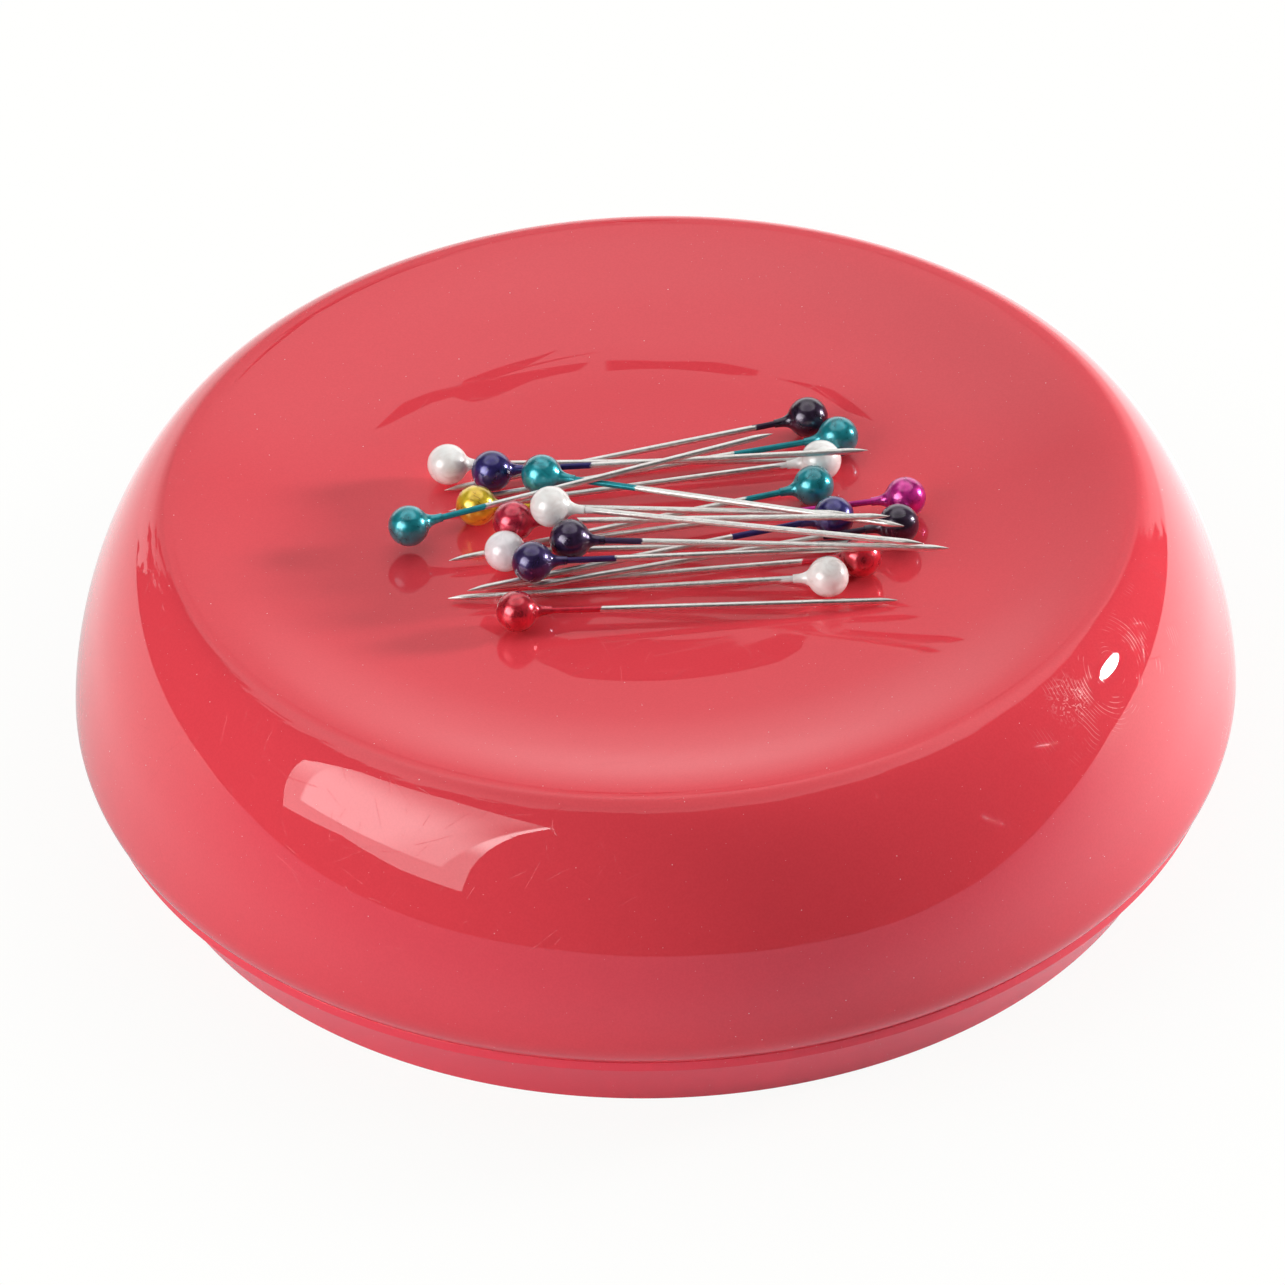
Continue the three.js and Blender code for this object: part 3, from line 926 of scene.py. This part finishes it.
    def dark_material(self, name, grain, screened):
        """A dim glow, as of black paper, with lighter patches, painted as dark reflections; a screened
        one is clear to rays that come through the clear card.
        """
        material = bpy.data.materials.new(name)
        shader = Shader(material)
        lighter_patches = shader.step(shader.noise(shader.place(), grain, detail=3.0, distortion=0.8), 0.62, 0.66)
        # The cards' glow paints dark reflections with lighter patches
        paper = shader.glow(lighter_patches * 0.3 + 0.05)
        if screened:
            passed = shader.step(shader.add("ShaderNodeLightPath", output="Transparent Depth"), 0.2, 0.8)
            clear = shader.add("ShaderNodeBsdfTransparent")
            paper = shader.add("ShaderNodeMixShader", None, {0: passed, 1: paper, 2: clear})
        shader.end(paper, "ShaderNodeOutputMaterial")
        return material

    def dark_cards(self):
        """Dark cards behind: one shows in the dish before the pins, three torn strips behind them."""
        card_paper = self.dark_material("card_black", 9.0, screened=True)
        self.card("dark_card", self.card_outline, self.card_back, card_paper)
        strip_paper = self.dark_material("strip_black", 420.0, screened=False)
        for outline in self.strip_outlines:
            self.card("dark_strip", outline, self.strips_back, strip_paper)

    def camera(self, scene, stage):
        """A long lens in front and above, turned a little about its own axis."""
        camera = bpy.data.cameras.new("camera")
        camera.lens = stage.lens
        camera.sensor_width = 36.0
        camera.clip_start = 0.05
        camera.clip_end = 10.0
        eye = bpy.data.objects.new("camera", camera)
        scene.collection.objects.link(eye)
        back = self.towards(0.0, stage.camera_elevation)
        eye.location = back * stage.camera_distance + self.orbit_middle
        look = (self.camera_aim - eye.location).to_track_quat("-Z", "Y")
        roll = Matrix.Rotation(stage.camera_roll, 4, "Z")
        eye.rotation_euler = (look.to_matrix().to_4x4() @ roll).to_euler()
        scene.camera = eye


class PINCUSHION_PT_panel(bpy.types.Panel):
    """Lists the steps and the sizes of the pincushion"""
    bl_label = "Pincushion"
    bl_idname = "PINCUSHION_PT_panel"
    bl_space_type = "VIEW_3D"
    bl_region_type = "UI"
    bl_category = "Pincushion"

    def draw(self, context):
        for step in STEPS:
            self.layout.operator(step.bl_idname)
        for name, group in SETTINGS.items():
            box = self.layout.box()
            box.label(text=group.__name__.replace("Settings", ""))
            for key in group.__annotations__:
                box.prop(getattr(context.scene, name), key)


SETTINGS = {
    "pincushion_dish": DishSettings,
    "pincushion_pan": PanSettings,
    "pincushion_pins": PinSettings,
    "pincushion_stage": StageSettings,
}
STEPS = (PINCUSHION_OT_dish, PINCUSHION_OT_pan, PINCUSHION_OT_magnet, PINCUSHION_OT_pins,
         PINCUSHION_OT_stage)
CLASSES = (*SETTINGS.values(), *STEPS, PINCUSHION_PT_panel)


def register():
    for cls in CLASSES:
        bpy.utils.register_class(cls)
    for name, group in SETTINGS.items():
        setattr(bpy.types.Scene, name, PointerProperty(type=group))


def unregister():
    for name in SETTINGS:
        delattr(bpy.types.Scene, name)
    for cls in reversed(CLASSES):
        bpy.utils.unregister_class(cls)


def main():
    register()
    bpy.ops.pincushion.dish()
    bpy.ops.pincushion.pan()
    bpy.ops.pincushion.magnet()
    bpy.ops.pincushion.pins()
    bpy.ops.pincushion.stage()


if __name__ == "__main__":
    main()
